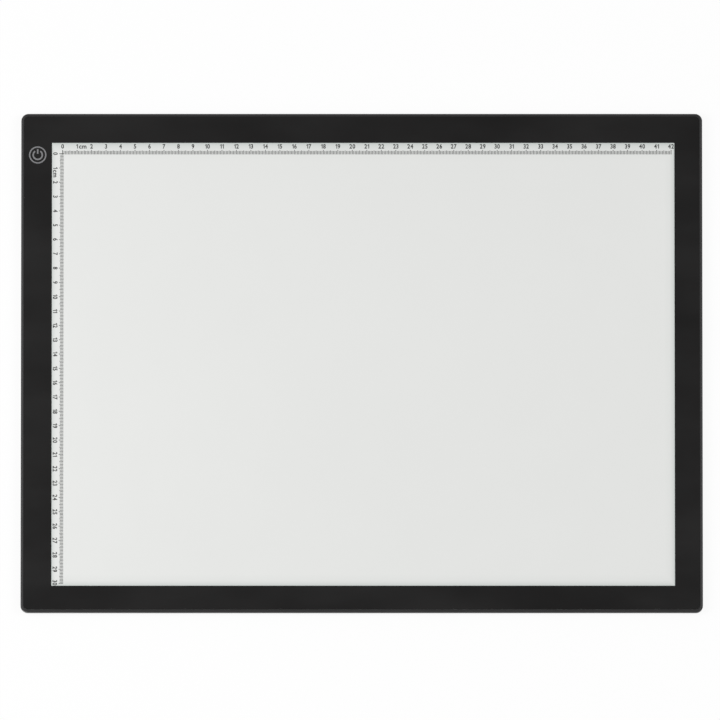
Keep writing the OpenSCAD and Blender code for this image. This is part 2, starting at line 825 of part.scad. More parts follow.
// One contact: a run under the tongue and through the insulator, a step, and a tail on the control board
module contact() {
    z_run = z_tongue - contact_t;
    z_step = min(z_run, z_board_top);
    step_h = max(z_tongue, z_board_top + contact_t) - z_step;
    translate([tongue_setback, 0, z_run]) cube([inlet_d - tongue_setback, contact_w, contact_t]);
    translate([inlet_d, 0, z_step]) cube([contact_t, contact_w, step_h]);
    translate([inlet_d, 0, z_board_top]) cube([contact_tail_l, contact_w, contact_t]);
}

// Contacts of the inlet
module inlet_contacts() {
    color("#d8b25a") at_contacts() contact();
}

// Two leads of one colour: the short one to the rear strip and the long one to the front strip
module lead_pair(inset) {
    x = -pad_w / 2 + inset;
    rear_start = pad_d / 2 - board_rear - lead_end_l;
    rear_end = pad_d / 2 - strip_face(REAR);
    front_start = -pad_d / 2 + strip_face(FRONT);
    front_end = board_y + lead_end_l;
    for (span = [[rear_start, rear_end], [front_start, front_end]])
        translate([x, span[1], z_lead]) rotate([90, 0, 0]) cylinder(h = span[1] - span[0], d = lead_d);
}

// Red leads, in the groove nearer to the rib
module positive_leads() {
    color("#b3261e") lead_pair(near_lead);
}

// Black leads, in the groove beside it
module negative_leads() {
    color("#1a1a1a") lead_pair(far_lead);
}

outer_frame();
back_cover();
cover_screws();
rubber_feet();
front_panel();
border_mask();
panel_tape();
diffuser_sheet();
light_guide();
reflector_sheet();
left_edge_tape();
right_edge_tape();
rear_led_board();
rear_leds();
rear_led_windows();
rear_shade_tape();
front_led_board();
front_leds();
front_led_windows();
front_shade_tape();
control_board();
board_tape();
touch_chip();
dimmer_transistor();
chip_resistors();
chip_capacitors();
touch_foam();
touch_electrode();
inlet_shell();
inlet_tongue();
inlet_contacts();
positive_leads();
negative_leads();
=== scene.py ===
"""Looks of a tracing light pad: finishes, printed rulers, touch key print, studio and camera.

The pad lies on its feet with +X to the right, +Y to the rear and +Z up, in metres. The solids come
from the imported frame. This script dresses each of them and adds the ink that is printed on the panel.
"""

import functools
import logging
import math
from abc import ABC, abstractmethod
from dataclasses import dataclass, field, replace
from enum import Enum

import bmesh
import bpy
import numpy as np
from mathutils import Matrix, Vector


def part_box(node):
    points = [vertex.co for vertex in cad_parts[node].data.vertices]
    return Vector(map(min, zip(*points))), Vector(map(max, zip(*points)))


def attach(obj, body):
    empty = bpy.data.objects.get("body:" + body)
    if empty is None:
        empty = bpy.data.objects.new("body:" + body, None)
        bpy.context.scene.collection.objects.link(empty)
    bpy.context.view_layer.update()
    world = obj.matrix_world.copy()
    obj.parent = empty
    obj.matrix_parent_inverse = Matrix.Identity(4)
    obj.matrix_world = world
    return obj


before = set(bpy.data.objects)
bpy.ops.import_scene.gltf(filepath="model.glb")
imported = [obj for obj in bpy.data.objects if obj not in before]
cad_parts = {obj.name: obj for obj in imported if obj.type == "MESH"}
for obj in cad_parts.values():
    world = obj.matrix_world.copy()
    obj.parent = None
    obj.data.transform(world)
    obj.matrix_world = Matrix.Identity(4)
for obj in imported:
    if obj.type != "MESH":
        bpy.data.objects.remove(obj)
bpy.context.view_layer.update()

log = logging.getLogger("light_pad")

Colour = tuple[float, float, float, float]
Triple = tuple[float, float, float]
Span = tuple[float, float]

MM = 0.001
CM = 10.0 * MM
# Points closer than this are one point
SAME_POINT = 1e-8
# Nearly all of a noise pattern lies in this span
CLOUDY: Span = (0.3, 0.7)
RISING: Span = (0.0, 1.0)
FALLING: Span = (1.0, 0.0)
# A wave pattern of scale one repeats after about this length
WAVE_LENGTH = 0.314
# Places of the sockets that a mix node uses for colours
MIX_SHARE, MIX_FIRST, MIX_SECOND, MIX_RESULT = 0, 6, 7, 2
BODY = "root"


class Sum(Enum):
    """A sum of two numbers that a node can work out."""

    ADD = "ADD"
    SUBTRACT = "SUBTRACT"
    MULTIPLY = "MULTIPLY"
    DIVIDE = "DIVIDE"
    LEAST = "MINIMUM"
    MOST = "MAXIMUM"


class Detail(Enum):
    """How many octaves of finer noise lie on the coarse one."""

    SMOOTH = 1.0
    SOFT = 2.0
    PLAIN = 3.0
    FINE = 4.0
    FINEST = 5.0


def srgb(*levels: int) -> Colour:
    """Turn screen levels into the linear colour that a shader takes, by the standard screen curve.

    Args:
        *levels: Levels of red, green and blue, 0 to 255.

    Returns:
        The linear red, green and blue, and an alpha of one.
    """
    level = np.array(levels) / 255.0
    linear = np.where(level <= 0.04045, level / 12.92, ((level + 0.055) / 1.055) ** 2.4)
    return (*linear.tolist(), 1.0)


def shade(colour: Colour, factor: float) -> Colour:
    """Multiply a linear colour by a factor and keep its alpha."""
    return (colour[0] * factor, colour[1] * factor, colour[2] * factor, colour[3])


def blended(first: Colour, second: Colour, share: float) -> Colour:
    """Mix two linear colours, with the given share of the second."""
    return tuple((1.0 - share) * a + share * b for a, b in zip(first, second))


class Wiring:
    """The nodes of a material or a sky, being wired up."""

    def __init__(self, tree: bpy.types.NodeTree) -> None:
        """Take a node tree in hand."""
        self.tree = tree

    def feed(self, socket: bpy.types.NodeSocket, value: object) -> None:
        """Link an input to a pattern, or set the input's own value.

        Args:
            socket: The input to fill.
            value: A pattern, a number, a vector or a colour.
        """
        if isinstance(value, Pattern):
            self.tree.links.new(value.socket, socket)
        else:
            socket.default_value = value

    def node(self, kind: str, inputs: dict | None = None, **settings: object) -> bpy.types.Node:
        """Add a node, set its properties and fill its inputs.

        Args:
            kind: Type name of the node.
            inputs: Value or pattern for each input, by name or place.
            **settings: Properties of the node.

        Returns:
            The new node.
        """
        made = self.tree.nodes.new(kind)
        for key, value in settings.items():
            setattr(made, key, value)
        for key, value in (inputs or {}).items():
            self.feed(made.inputs[key], value)
        return made

    def pattern(
        self, kind: str, inputs: dict | None = None, output: int | str = 0, **settings: object
    ) -> "Pattern":
        """Add a node and give one of its outputs, by name or place."""
        return Pattern(self, self.node(kind, inputs, **settings).outputs[output])


@dataclass(frozen=True)
class Pattern:
    """What a node gives: a number, vector, colour or shader that varies from point to point."""

    wiring: Wiring
    socket: bpy.types.NodeSocket

    def sum(self, kind: Sum, first: object, second: object) -> "Pattern":
        """Work out one sum of two numbers."""
        return self.wiring.pattern("ShaderNodeMath", {0: first, 1: second}, operation=kind.value)

    def __add__(self, other: object) -> "Pattern":
        """Add a number or a pattern."""
        return self.sum(Sum.ADD, self, other)

    def __sub__(self, other: object) -> "Pattern":
        """Take a number or a pattern off."""
        return self.sum(Sum.SUBTRACT, self, other)

    def __rsub__(self, other: float) -> "Pattern":
        """Take the pattern off a number."""
        return self.sum(Sum.SUBTRACT, other, self)

    def __mul__(self, other: object) -> "Pattern":
        """Multiply by a number or a pattern."""
        return self.sum(Sum.MULTIPLY, self, other)

    def __truediv__(self, other: float) -> "Pattern":
        """Divide by a number."""
        return self.sum(Sum.DIVIDE, self, other)

    def least(self, other: "Pattern") -> "Pattern":
        """Give the lesser of two patterns at each point."""
        return self.sum(Sum.LEAST, self, other)

    def most(self, other: "Pattern") -> "Pattern":
        """Give the greater of two patterns at each point."""
        return self.sum(Sum.MOST, self, other)

    def parts(self) -> tuple["Pattern", ...]:
        """Take a vector apart into its three numbers."""
        apart = self.wiring.node("ShaderNodeSeparateXYZ", {0: self})
        return tuple(Pattern(self.wiring, socket) for socket in apart.outputs)

    def remap(self, source: Span, target: Span) -> "Pattern":
        """Map a number from one span to another, smoothly and clamped.

        Args:
            source: The number's lowest and highest value.
            target: What these become.

        Returns:
            The mapped number.
        """
        names = ("Value", "From Min", "From Max", "To Min", "To Max")
        inputs = dict(zip(names, (self, *source, *target)))
        return self.wiring.pattern("ShaderNodeMapRange", inputs, interpolation_type="SMOOTHSTEP")

    def varied(self, middle: float, spread: float) -> "Pattern":
        """Vary a number with cloudy noise, by the spread to either side of its middle."""
        return self.remap(CLOUDY, (middle - spread, middle + spread))

    def ramp(self, stops: list[tuple[float, Colour]]) -> "Pattern":
        """Turn a number into a colour.

        Args:
            stops: Values of the number, 0 to 1 and in order, and their colours.

        Returns:
            The colour.
        """
        made = self.wiring.node("ShaderNodeValToRGB", {"Fac": self})
        elements = made.color_ramp.elements
        while len(elements) < len(stops):
            elements.new(1.0)
        for element, (position, colour) in zip(elements, stops):
            element.position = position
            element.color = colour
        return Pattern(self.wiring, made.outputs["Color"])

    def fade(self, span: Span, first: Colour, second: Colour) -> "Pattern":
        """Fade from one colour to another as a number crosses a span."""
        return self.ramp([(span[0], first), (span[1], second)])

    def tinted(self, colour: Colour, spread: float) -> "Pattern":
        """Vary a colour with cloudy noise, darker where it is low and lighter where it is high."""
        return self.fade(CLOUDY, shade(colour, 1.0 - spread), shade(colour, 1.0 + spread))

    def between(self, first: object, second: object) -> "Pattern":
        """Mix two colours, with this number as the share of the second."""
        inputs = {MIX_SHARE: self, MIX_FIRST: first, MIX_SECOND: second}
        return self.wiring.pattern("ShaderNodeMix", inputs, MIX_RESULT, data_type="RGBA")


@dataclass(frozen=True)
class Relief:
    """How far a pattern stands out: its height in metres, and the share of it that shows."""

    height: float
    share: float


class NodeSheet(Wiring):
    """A material being wired up round one Principled shader."""

    def __init__(self, name: str) -> None:
        """Make the material, and find its shader and the object's own coordinates.

        Args:
            name: Name of the material.
        """
        self.material = bpy.data.materials.new(name)
        self.material.use_nodes = True
        super().__init__(self.material.node_tree)
        self.shader = self.tree.nodes["Principled BSDF"]
        self.place = self.pattern("ShaderNodeTexCoord", output="Object")

    def surface(self, **values: object) -> None:
        """Fill the shader's inputs; an underscore in a key stands for a space.

        Args:
            **values: Value or pattern for each input, such as Base_Color.
        """
        for key, value in values.items():
            self.feed(self.shader.inputs[key.replace("_", " ")], value)

    def stretched(self, scale: Triple, shift: Triple = (0.0, 0.0, 0.0)) -> Pattern:
        """Scale the object coordinates along each axis, then shift them."""
        inputs = {"Vector": self.place, "Scale": scale, "Location": shift}
        return self.pattern("ShaderNodeMapping", inputs)

    def noise(self, scale: float, detail: Detail = Detail.PLAIN, place: Pattern | None = None) -> Pattern:
        """Make cloudy noise on the object's own coordinates.

        Args:
            scale: Features per metre.
            detail: Octaves of finer noise.
            place: Coordinates to use in place of the plain object coordinates.

        Returns:
            The noise, nearly all of it in the cloudy span.
        """
        inputs = {"Vector": place or self.place, "Scale": scale, "Detail": detail.value}
        return self.pattern("ShaderNodeTexNoise", inputs)

    def streaks(self, scales: Triple, detail: Detail = Detail.PLAIN) -> Pattern:
        """Make cloudy noise with its own features per metre along each axis."""
        return self.noise(1.0, detail, self.stretched(scales))

    def cells(self, scale: float, spread: float) -> Pattern:
        """Make a cell pattern and give the distance to the nearest cell point.

        Args:
            scale: Cells per metre.
            spread: Randomness of the cell points, 0 for a square grid.

        Returns:
            The distance, in cells.
        """
        inputs = {"Vector": self.place, "Scale": scale, "Randomness": spread}
        return self.pattern("ShaderNodeTexVoronoi", inputs, "Distance")

    def raise_by(self, pattern: Pattern, relief: Relief) -> None:
        """Let the surface stand out where a pattern is high.

        Args:
            pattern: The pattern, 0 to 1.
            relief: How far it stands out.
        """
        inputs = {"Height": pattern, "Distance": relief.height, "Strength": relief.share}
        self.surface(Normal=self.pattern("ShaderNodeBump", inputs))


@dataclass(frozen=True)
class Finish(ABC):
    """A surface finish of one main colour, which can wire up its own material."""

    name: str
    colour: Colour

    @abstractmethod
    def wire(self, sheet: NodeSheet) -> None:
        """Wire up this finish on an empty sheet."""


@functools.cache
def material_of(finish: Finish) -> bpy.types.Material:
    """Give a finish's material, wired up once.

    Args:
        finish: The finish.

    Returns:
        Its material.
    """
    sheet = NodeSheet(finish.name)
    finish.wire(sheet)
    return sheet.material


@dataclass(frozen=True)
class MouldedPlastic(Finish):
    """Moulded plastic or resin with a spark-eroded grain and slightly uneven gloss."""

    roughness: float = 0.5
    grain: float = 5200.0
    relief: Relief = Relief(0.012 * MM, 0.6)
    patches: float = 22.0
    tone: float = 0.12
    uneven: float = 0.045

    def wire(self, sheet: NodeSheet) -> None:
        """Slow clouds vary the colour and the gloss; the grain varies the gloss and stands out.

        Args:
            sheet: The empty sheet.
        """
        clouds = sheet.noise(self.patches)
        grain = sheet.noise(self.grain, Detail.FINE)
        gloss = clouds.varied(self.roughness, self.uneven) + grain.varied(0.0, self.uneven)
        sheet.surface(Base_Color=clouds.tinted(self.colour, self.tone), Roughness=gloss)
        sheet.raise_by(grain, self.relief)


@dataclass(frozen=True)
class PebbledPlastic(Finish):
    """Back cover plastic: a moulded pebble grain with shinier crests, and faint sliding scuffs."""

    roughness: float = 0.52
    pebbles: float = 820.0
    pebble_spread: float = 0.9
    relief: Relief = Relief(0.09 * MM, 0.7)
    crest_reach: Span = (0.15, 0.75)
    crest_polish: float = 0.12
    scuffs: Triple = (14.0, 190.0, 1.0)
    scuff_start: Span = (0.6, 0.75)
    scuff_cover: float = 0.5
    scuff_paleness: float = 2.4
    patches: float = 16.0
    tone: float = 0.14

    def wire(self, sheet: NodeSheet) -> None:
        """Cells raise the pebbles; stretched noise lays the scuffs on their crests alone.

        Args:
            sheet: The empty sheet.
        """
        crest = sheet.cells(self.pebbles, self.pebble_spread).remap(self.crest_reach, FALLING)
        scuffs = sheet.streaks(self.scuffs, Detail.FINE).remap(self.scuff_start, (0.0, self.scuff_cover))
        plain = sheet.noise(self.patches).tinted(self.colour, self.tone)
        colour = (scuffs * crest).between(plain, shade(self.colour, self.scuff_paleness))
        sheet.surface(Base_Color=colour, Roughness=self.roughness - crest * self.crest_polish)
        sheet.raise_by(crest, self.relief)


@dataclass(frozen=True)
class RimPlastic(Finish):
    """The frame's satin plastic, rubbed smoother along its rounded outer edge, and painted paler there as
    a highlight.
    """

    half: Span
    crest: float
    roughness: float = 0.54
    grain: float = 5200.0
    relief: Relief = Relief(0.012 * MM, 0.6)
    patches: float = 22.0
    tone: float = 0.1
    uneven: float = 0.04
    wear_start: float = 1.1 * MM
    wear_full: float = 0.11 * MM
    wear_depth: float = 2.2 * MM
    # Painted highlight: how much paler the rounded edge is painted
    wear_paleness: float = 1.3
    wear_polish: float = 0.1
    rubs: float = 240.0
    rub_span: Span = (0.38, 0.62)
    rub_cover: Span = (0.35, 1.0)

    def wear(self, sheet: NodeSheet) -> Pattern:
        """Work out the wear and painted highlight: they grow towards the outline and the crest, broken up
        by fine noise.

        Args:
            sheet: The sheet being wired up.

        Returns:
            The wear and painted highlight, 0 to 1.
        """
        folded = sheet.pattern("ShaderNodeVectorMath", {0: sheet.place}, operation="ABSOLUTE")
        x, y, z = folded.parts()
        past_outline = (x - self.half[0]).most(y - self.half[1])
        near_edge = past_outline.remap((-self.wear_start, -self.wear_full), RISING)
        near_top = z.remap((self.crest - self.wear_depth, self.crest), RISING)
        rubs = sheet.noise(self.rubs, Detail.FINEST).remap(self.rub_span, self.rub_cover)
        return near_edge * near_top * rubs

    def wire(self, sheet: NodeSheet) -> None:
        """Slow clouds vary the colour and the gloss; the wear polishes the edge, and a painted highlight
        pales it.

        Args:
            sheet: The empty sheet.
        """
        wear = self.wear(sheet)
        clouds = sheet.noise(self.patches)
        plain = clouds.tinted(self.colour, self.tone)
        # Painted highlight: the rounded edge is painted paler
        colour = wear.between(plain, shade(self.colour, self.wear_paleness))
        gloss = clouds.varied(self.roughness, self.uneven) - wear * self.wear_polish
        sheet.surface(Base_Color=colour, Roughness=gloss)
        sheet.raise_by(sheet.noise(self.grain, Detail.FINE), self.relief)


@dataclass(frozen=True)
class BorderLacquer(Finish):
    """Black border lacquer: smooth, satin, with faint handling smears and fine dust."""

    roughness: float = 0.37
    specular: float = 0.36
    smears: Triple = (9.0, 21.6, 9.0)
    tone: float = 0.12
    uneven: float = 0.06
    specks: float = 160.0
    speck_edge: Span = (0.02, 0.05)
    speck_cover: float = 0.35
    speck_paleness: float = 4.0
    ripple: float = 420.0
    relief: Relief = Relief(0.01 * MM, 0.35)

    def wire(self, sheet: NodeSheet) -> None:
        """Long smears vary the gloss, sparse specks the colour, a slow ripple the relief.

        Args:
            sheet: The empty sheet.
        """
        smears = sheet.streaks(self.smears, Detail.FINE)
        specks = sheet.cells(self.specks, spread=1.0).remap(self.speck_edge, (self.speck_cover, 0.0))
        plain = smears.tinted(self.colour, self.tone)
        colour = specks.between(plain, shade(self.colour, self.speck_paleness))
        gloss = smears.varied(self.roughness, self.uneven)
        sheet.surface(Base_Color=colour, Roughness=gloss, Specular_IOR_Level=self.specular)
        sheet.raise_by(sheet.noise(self.ripple, Detail.SOFT), self.relief)


@dataclass(frozen=True)
class OpalAcrylic(Finish):
    """Opal acrylic panel: satin white, darkened towards the masked border by painted shade."""

    # Colour of the painted shade where the window meets the border
    edge: Colour
    low: Span
    high: Span
    low_reach: Span = (7.0 * MM, 9.0 * MM)
    high_reach: Span = (8.0 * MM, 15.0 * MM)
    # Painted shade: how far the colour goes towards the edge colour at each nearness
    fall: tuple[Span, ...] = ((0.1, 0.0), (0.62, 0.12), (0.88, 0.5), (1.0, 1.0))
    roughness: float = 0.345
    specular: float = 0.42
    patches: float = 7.0
    patch_cover: float = 0.06
    patch_shade: float = 0.86
    haze: float = 30.0
    uneven: float = 0.045
    grain: float = 7800.0
    relief: Relief = Relief(0.006 * MM, 0.3)

    def nearness(self, sheet: NodeSheet) -> Pattern:
        """Work out how near the window's edge is: one less the smallest distance over its side's reach.

        Args:
            sheet: The sheet being wired up.

        Returns:
            The nearness: 1 at the edge, and 0 or less past the reach of every side.
        """
        shares = []
        sides = zip(sheet.place.parts(), self.low, self.high, self.low_reach, self.high_reach)
        for place, low, high, low_reach, high_reach in sides:
            shares += [(place - low) / low_reach, (high - place) / high_reach]
        return 1.0 - functools.reduce(Pattern.least, shares)

    def wire(self, sheet: NodeSheet) -> None:
        """The painted shade follows the nearness of the edge; slow clouds vary the tone, haze the gloss.

        Args:
            sheet: The empty sheet.
        """
        # Painted shade: the white darkens towards the edge colour near the border
        stops = [(near, blended(self.colour, self.edge, share)) for near, share in self.fall]
        white = self.nearness(sheet).ramp(stops)
        patches = sheet.noise(self.patches, Detail.FINE).remap(CLOUDY, (0.0, self.patch_cover))
        colour = patches.between(white, shade(self.colour, self.patch_shade))
        gloss = sheet.noise(self.haze, Detail.FINEST).varied(self.roughness, self.uneven)
        sheet.surface(Base_Color=colour, Roughness=gloss, Specular_IOR_Level=self.specular)
        sheet.raise_by(sheet.noise(self.grain, Detail.SOFT), self.relief)


@dataclass(frozen=True)
class ScreenInk(Finish):
    """Screen-printed ink: slightly uneven cover with the mesh of the screen in its relief."""

    thinned: float = 1.35
    thin_span: Span = (0.35, 0.7)
    cover: float = 1900.0
    roughness: float = 0.5
    uneven: float = 0.07
    specular: float = 0.35
    screen: float = 9000.0
    relief: Relief = Relief(0.004 * MM, 0.5)

    def wire(self, sheet: NodeSheet) -> None:
        """Noise thins the ink; a regular fine cell pattern gives the screen's mesh.

        Args:
            sheet: The empty sheet.
        """
        cover = sheet.noise(self.cover)
        colour = cover.fade(self.thin_span, self.colour, shade(self.colour, self.thinned))
        gloss = cover.varied(self.roughness, self.uneven)
        sheet.surface(Base_Color=colour, Roughness=gloss, Specular_IOR_Level=self.specular)
        sheet.raise_by(sheet.cells(self.screen, spread=0.0), self.relief)


@dataclass(frozen=True)
class PlatedMetal(Finish):
    """Rolled or plated metal with drawing lines along one axis and faint tarnish."""

    roughness: float = 0.31
    uneven: float = 0.08
    lines: Triple = (60.0, 2600.0, 2600.0)
    relief: Relief = Relief(0.004 * MM, 0.4)
    tarnish: float = 0.7
    tarnish_span: Span = (0.32, 0.58)
    patches: float = 520.0

    def metal(self, sheet: NodeSheet) -> Pattern:
        """Darken the metal in tarnished patches."""
        patches = sheet.noise(self.patches, Detail.FINE)
        return patches.fade(self.tarnish_span, shade(self.colour, self.tarnish), self.colour)

    def wire(self, sheet: NodeSheet) -> None:
        """Stretched noise draws the lines on the metal.

        Args:
            sheet: The empty sheet.
        """
        drawn = sheet.streaks(self.lines)
        gloss = drawn.varied(self.roughness, self.uneven)
        sheet.surface(Base_Color=self.metal(sheet), Roughness=gloss, Metallic=1.0)
        sheet.raise_by(drawn, self.relief)


@dataclass(frozen=True)
class BlackenedShell(PlatedMetal):
    """A plated shell along X, painted dark outside as painted shade, so that it doesn't shine through the
    seam over it.
    """

    middle: Triple = (0.0, 0.0, 0.0)
    # Colour of the painted shade on the shell's outside
    black: Colour = srgb(16, 16, 16)
    skin: Span = (0.0, 0.2 * MM)

    def metal(self, sheet: NodeSheet) -> Pattern:
        """Paint shade on the outside, which is where the normal leads away from the shell's axis.

        Args:
            sheet: The sheet being wired up.

        Returns:
            The colour.
        """
        _, y, z = self.middle
        normal = sheet.pattern("ShaderNodeNewGeometry", output="Normal")
        from_axis = sheet.stretched(scale=(0.0, 1.0, 1.0), shift=(0.0, -y, -z))
        inputs = {0: normal, 1: from_axis}
        away = sheet.pattern("ShaderNodeVectorMath", inputs, "Value", operation="DOT_PRODUCT")
        # Painted shade: the outside of the shell, hidden in the seam, is made black
        return away.remap(self.skin, RISING).between(super().metal(sheet), self.black)


@dataclass(frozen=True)
class SoftRubber(Finish):
    """Matt rubber or foam with a coarse skin and pale dust in its pores."""

    roughness: float = 0.82
    pores: float = 2600.0
    relief: Relief = Relief(0.03 * MM, 0.5)
    pore_floor: Span = (0.0, 0.3)
    dust: float = 90.0
    dust_paleness: float = 2.0
    patches: float = 60.0
    uneven: float = 0.06
    specular: float = 0.3

    def wire(self, sheet: NodeSheet) -> None:
        """Cells make the skin; dust settles where the cells are deepest.

        Args:
            sheet: The empty sheet.
        """
        skin = sheet.cells(self.pores, spread=1.0)
        dust = skin.remap(self.pore_floor, FALLING) * sheet.noise(self.dust, Detail.FINE)
        colour = dust.between(self.colour, shade(self.colour, self.dust_paleness))
        gloss = sheet.noise(self.patches).varied(self.roughness, self.uneven)
        sheet.surface(Base_Color=colour, Roughness=gloss, Specular_IOR_Level=self.specular)
        sheet.raise_by(skin, self.relief)


@dataclass(frozen=True)
class FilmSheet(Finish):
    """Plastic film or adhesive tape, nearly even, with a faint calendered ripple."""

    roughness: float = 0.55
    uneven: float = 0.06
    ripple: Triple = (40.0, 900.0, 40.0)
    relief: Relief = Relief(0.005 * MM, 0.4)
    patches: float = 35.0
    tone: float = 0.03

    def wire(self, sheet: NodeSheet) -> None:
        """Ripples stretched along the web vary the gloss and the relief.

        Args:
            sheet: The empty sheet.
        """
        ripple = sheet.streaks(self.ripple)
        colour = sheet.noise(self.patches).tinted(self.colour, self.tone)
        sheet.surface(Base_Color=colour, Roughness=ripple.varied(self.roughness, self.uneven))
        sheet.raise_by(ripple, self.relief)


@dataclass(frozen=True)
class DottedGuide(Finish):
    """Clear acrylic light guide, printed all over with a square grid of white dots."""

    dot: Colour
    pitch: float = 2.0 * MM
    dot_edge: Span = (0.28, 0.34)
    gloss: Span = (0.08, 0.5)
    index: float = 1.49

    def wire(self, sheet: NodeSheet) -> None:
        """A dot stands wherever the nearest grid point is closer than the dot's radius.

        Args:
            sheet: The empty sheet.
        """
        dots = sheet.cells(1.0 / self.pitch, spread=0.0).remap(self.dot_edge, FALLING)
        colour = dots.between(self.colour, self.dot)
        sheet.surface(Base_Color=colour, Roughness=dots.remap(RISING, self.gloss), IOR=self.index)


@dataclass(frozen=True)
class CircuitBoard(Finish):
    """Lacquered board with straight tracks showing faintly under the lacquer."""

    track: Colour
    pitch: float = 1.6 * MM
    track_edge: Span = (0.62, 0.7)
    runs: Triple = (420.0, 60.0, 1.0)
    run_edge: Span = (0.48, 0.52)
    roughness: float = 0.32
    uneven: float = 0.08
    patches: float = 160.0
    relief: Relief = Relief(0.02 * MM, 0.7)

    def wire(self, sheet: NodeSheet) -> None:
        """Tracks are bands of a wave along X, broken into runs by slow noise.

        Args:
            sheet: The empty sheet.
        """
        inputs = {"Vector": sheet.place, "Scale": WAVE_LENGTH / self.pitch}
        wave = sheet.pattern("ShaderNodeTexWave", inputs, "Fac", bands_direction="X")
        runs = sheet.streaks(self.runs, Detail.SMOOTH)
        tracks = wave.remap(self.track_edge, RISING) * runs.remap(self.run_edge, RISING)
        gloss = sheet.noise(self.patches).varied(self.roughness, self.uneven)
        sheet.surface(Base_Color=tracks.between(self.colour, self.track), Roughness=gloss)
        sheet.raise_by(tracks, self.relief)


@dataclass(frozen=True)
class Shape:
    """A surface in arrays: points, the corners of its faces in one row, and each face's corner count.

    A point is a row of three numbers in metres. A corner is the number of a point, and the corners of
    a face turn left seen from outside.
    """

    points: np.ndarray
    corners: np.ndarray
    sizes: np.ndarray

    @classmethod
    def of_faces(cls, points: np.ndarray, *groups: np.ndarray) -> "Shape":
        """Make a shape from groups of faces, where a group's faces have as many corners each.

        Args:
            points: The points, one row each.
            *groups: Corners of each group's faces, one row per face.

        Returns:
            The shape.
        """
        corners = np.concatenate([group.ravel() for group in groups])
        sizes = np.concatenate([np.full(len(group), group.shape[1]) for group in groups])
        return cls(points, corners, sizes)

    @classmethod
    def of_mesh(cls, mesh: bpy.types.Mesh) -> "Shape":
        """Read a shape from a mesh.

        Args:
            mesh: The mesh.

        Returns:
            Its points and faces.
        """
        points = np.empty(3 * len(mesh.vertices))
        corners = np.empty(len(mesh.loops), int)
        sizes = np.empty(len(mesh.polygons), int)
        mesh.vertices.foreach_get("co", points)
        mesh.loops.foreach_get("vertex_index", corners)
        mesh.polygons.foreach_get("loop_total", sizes)
        return cls(points.reshape(-1, 3), corners, sizes)

    @classmethod
    def joined(cls, parts: list["Shape"]) -> "Shape":
        """Put several shapes into one, with the corners of each moved past the points before it.

        Args:
            parts: The shapes.

        Returns:
            All their points and faces.
        """
        before = np.cumsum([0] + [len(part.points) for part in parts[:-1]])
        return cls(
            np.concatenate([part.points for part in parts]),
            np.concatenate([part.corners + start for part, start in zip(parts, before)]),
            np.concatenate([part.sizes for part in parts]),
        )

    def moved(self, x: float = 0.0, y: float = 0.0) -> "Shape":
        """Move the shape sideways."""
        return replace(self, points=self.points + [x, y, 0.0])

    def right_end(self) -> float:
        """Give the largest X of the shape."""
        return self.points[:, 0].max()

    def mesh(self, name: str) -> bpy.types.Mesh:
        """Put the arrays into a new mesh of flat faces.

        Args:
            name: Name of the mesh.

        Returns:
            The mesh.
        """
        made = bpy.data.meshes.new(name)
        made.vertices.add(len(self.points))
        made.vertices.foreach_set("co", self.points.ravel())
        made.loops.add(len(self.corners))
        made.loops.foreach_set("vertex_index", self.corners)
        made.polygons.add(len(self.sizes))
        made.polygons.foreach_set("loop_start", np.cumsum(self.sizes) - self.sizes)
        made.update(calc_edges=True)
        made.shade_flat()
        return made


def slabs(centres: np.ndarray, along: np.ndarray, across: np.ndarray, up: np.ndarray) -> Shape:
    """Make flat blocks, any number at once.

    Each corner is the block's centre plus or minus its half edges: the three half-edge vectors are
    added with all eight combinations of signs.

    Args:
        centres: Middle of each block, one row each.
        along: Half edge of every block along its first side, or one row each.
        across: The same along the second side.
        up: The same along the height.

    Returns:
        The closed blocks.
    """
    centres, *halves = np.broadcast_arrays(np.atleast_2d(centres), along, across, up)
    edges = np.stack(halves, axis=1)
    signs = np.array([[x, y, z] for z in (-1, 1) for y in (-1, 1) for x in (-1, 1)], float)
    points = centres[:, None, :] + np.einsum("cs,nsk->nck", signs, edges)
    sides = np.array([[0, 2, 3, 1], [4, 5, 7, 6], [0, 1, 5, 4], [2, 6, 7, 3], [0, 4, 6, 2], [1, 3, 7, 5]])
    if np.linalg.det(edges[0]) < 0.0:
        sides = sides[:, ::-1]
    quads = sides + len(signs) * np.arange(len(centres))[:, None, None]
    return Shape.of_faces(points.reshape(-1, 3), quads.reshape(-1, 4))


def arc_band(centre: np.ndarray, radius: float, section: Span, turn: Span, steps: int) -> Shape:
    """Carry a flat rectangular section along an arc.

    A point is the centre plus the section's radius times the direction of the angle, raised by the
    section's height; the angle runs over the turn. A full turn is joined up, an arc is capped.

    Args:
        centre: Middle of the arc, at the foot of the section.
        radius: Middle radius of the band.
        section: Width and height of the band.
        turn: First and last angle in radians, from +X towards +Y.
        steps: Sections along the arc.

    Returns:
        The closed band.
    """
    (width, height), (start, stop) = section, turn
    whole = math.isclose(stop - start, math.tau)
    angle = np.linspace(start, stop, steps, endpoint=not whole)[:, None]
    reach = radius + 0.5 * width * np.array([-1.0, 1.0, 1.0, -1.0])
    level = height * np.array([0.0, 0.0, 1.0, 1.0])
    around = np.broadcast_arrays(np.cos(angle) * reach, np.sin(angle) * reach, level)
    points = centre + np.stack(around, axis=-1).reshape(-1, 3)
    side = np.arange(4)
    beside = (side + 1) % 4
    here = 4 * np.arange(steps if whole else steps - 1)[:, None]
    after = (here + 4) % len(points)
    walls = np.stack([here + side, after + side, after + beside, here + beside], axis=-1).reshape(-1, 4)
    caps = np.array([side, len(points) - 1 - side])
    return Shape.of_faces(points, walls) if whole else Shape.of_faces(points, walls, caps)


